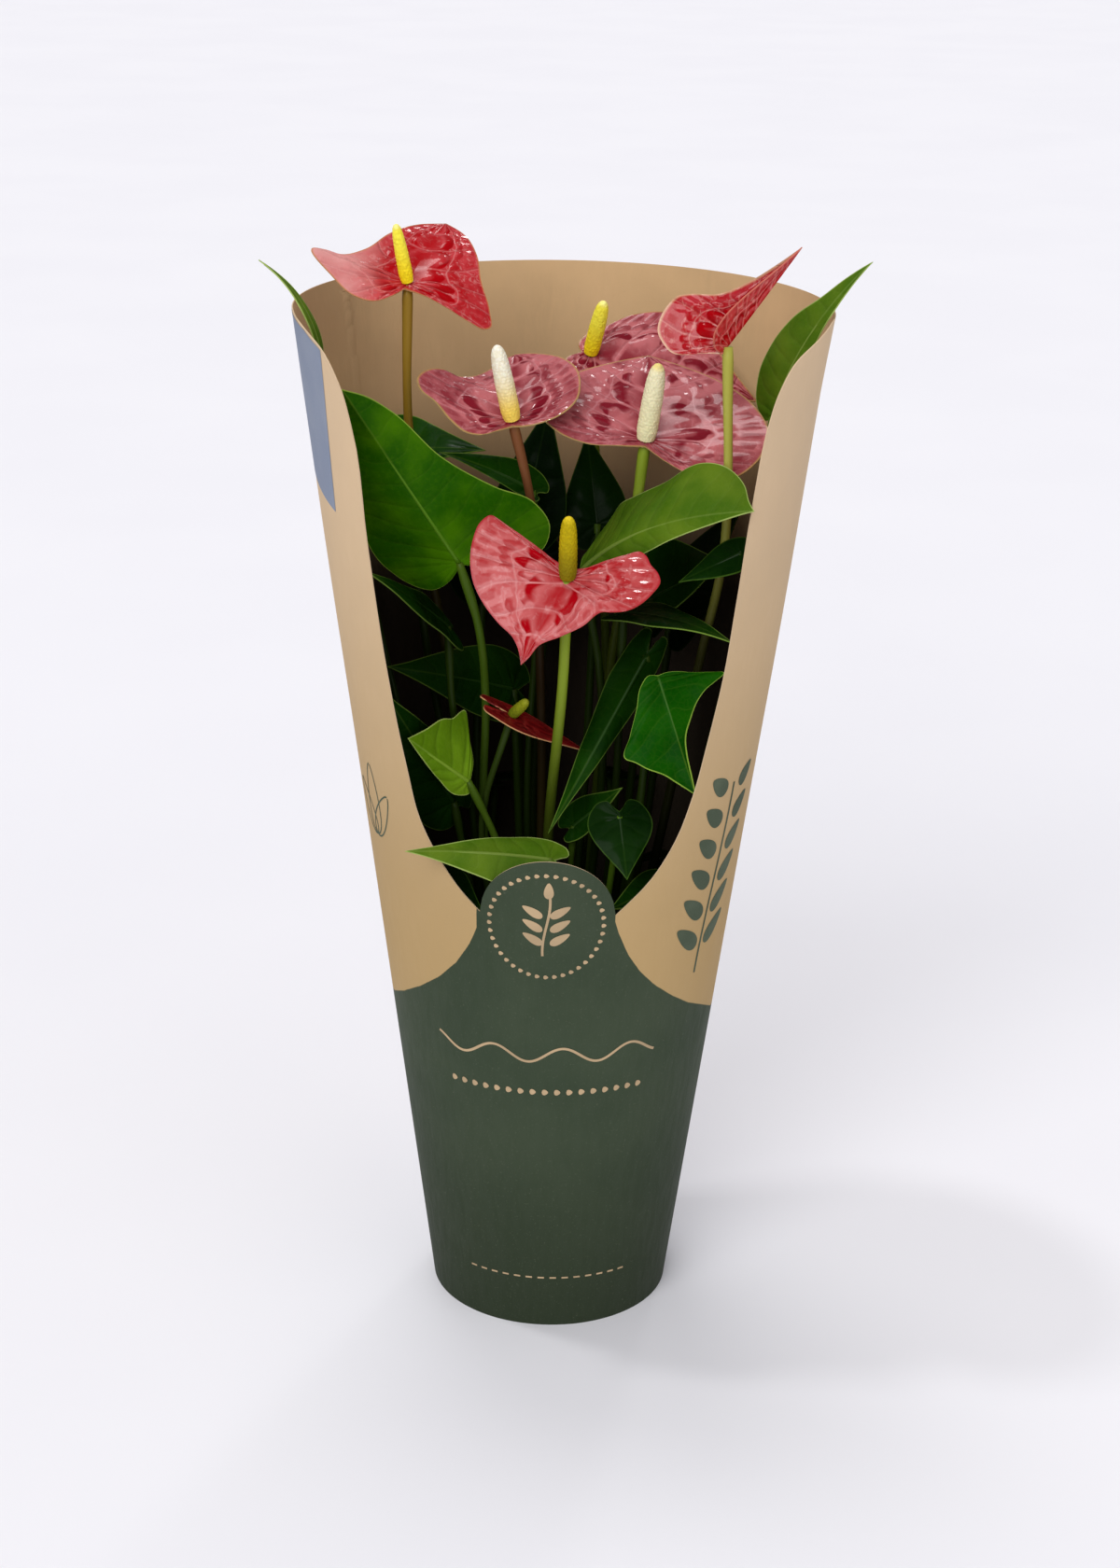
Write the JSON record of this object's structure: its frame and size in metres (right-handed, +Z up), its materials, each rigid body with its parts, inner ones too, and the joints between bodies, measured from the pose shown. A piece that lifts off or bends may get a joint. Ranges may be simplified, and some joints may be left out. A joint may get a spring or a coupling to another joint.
{
  "type": "potted anthurium in paper sleeve",
  "caption": "Potted anthurium with heart-shaped leaves and upright red and rose blooms, in a tall conical paper sleeve cut open at the front",
  "frame": {"origin": "centre of the underside of the nursery pot, on the plane the pot and the sleeve's lower edge stand on", "axes": "+Z up along the axis of the pot and the sleeve, -Y towards the sleeve's open front with its rounded tab, +X to the right seen from the front"},
  "size_m": [0.2304, 0.1823, 0.4513],
  "materials": {
    "kraft_paper": "matte",
    "black_plastic": "satin",
    "peat": "matte",
    "leaf_green": "satin",
    "stalk_green": "satin",
    "rose": "gloss",
    "red": "gloss",
    "dark_red": "gloss",
    "yellow": "matte",
    "cream": "matte"
  },
  "bodies": {
    "root": {"sleeve": "kraft_paper", "pot": "black_plastic", "soil": "peat", "bloom1_spathe": "red", "bloom1_stem": "stalk_green", "bloom1_spadix": "yellow", "bloom2_spathe": "rose", "bloom2_stem": "stalk_green", "bloom2_spadix": "cream", "bloom3_spathe": "rose", "bloom3_stem": "stalk_green", "bloom3_spadix": "cream", "bloom4_spathe": "rose", "bloom4_stem": "stalk_green", "bloom4_spadix": "yellow", "bloom5_spathe": "red", "bloom5_stem": "stalk_green", "bloom5_spadix": "yellow", "bloom6_spathe": "rose", "bloom6_stem": "stalk_green", "bloom6_spadix": "yellow", "bloom7_spathe": "dark_red", "bloom7_stem": "stalk_green", "bloom7_spadix": "yellow", "leaf_01": "leaf_green", "leaf_02": "leaf_green", "leaf_03": "leaf_green", "leaf_04": "leaf_green", "leaf_05": "leaf_green", "leaf_06": "leaf_green", "leaf_07": "leaf_green", "leaf_08": "leaf_green", "leaf_09": "leaf_green", "leaf_10": "leaf_green", "leaf_11": "leaf_green", "leaf_12": "leaf_green", "leaf_13": "leaf_green", "leaf_14": "leaf_green", "leaf_15": "leaf_green", "leaf_16": "leaf_green", "leaf_17": "leaf_green", "leaf_18": "leaf_green", "leaf_19": "leaf_green", "leaf_20": "leaf_green", "leaf_21": "leaf_green", "leaf_22": "leaf_green", "leaf_23": "leaf_green", "leaf_24": "leaf_green", "leaf_25": "leaf_green", "leaf_26": "leaf_green", "leaf_27": "leaf_green", "leaf_28": "leaf_green"}
  },
  "joints": []
}
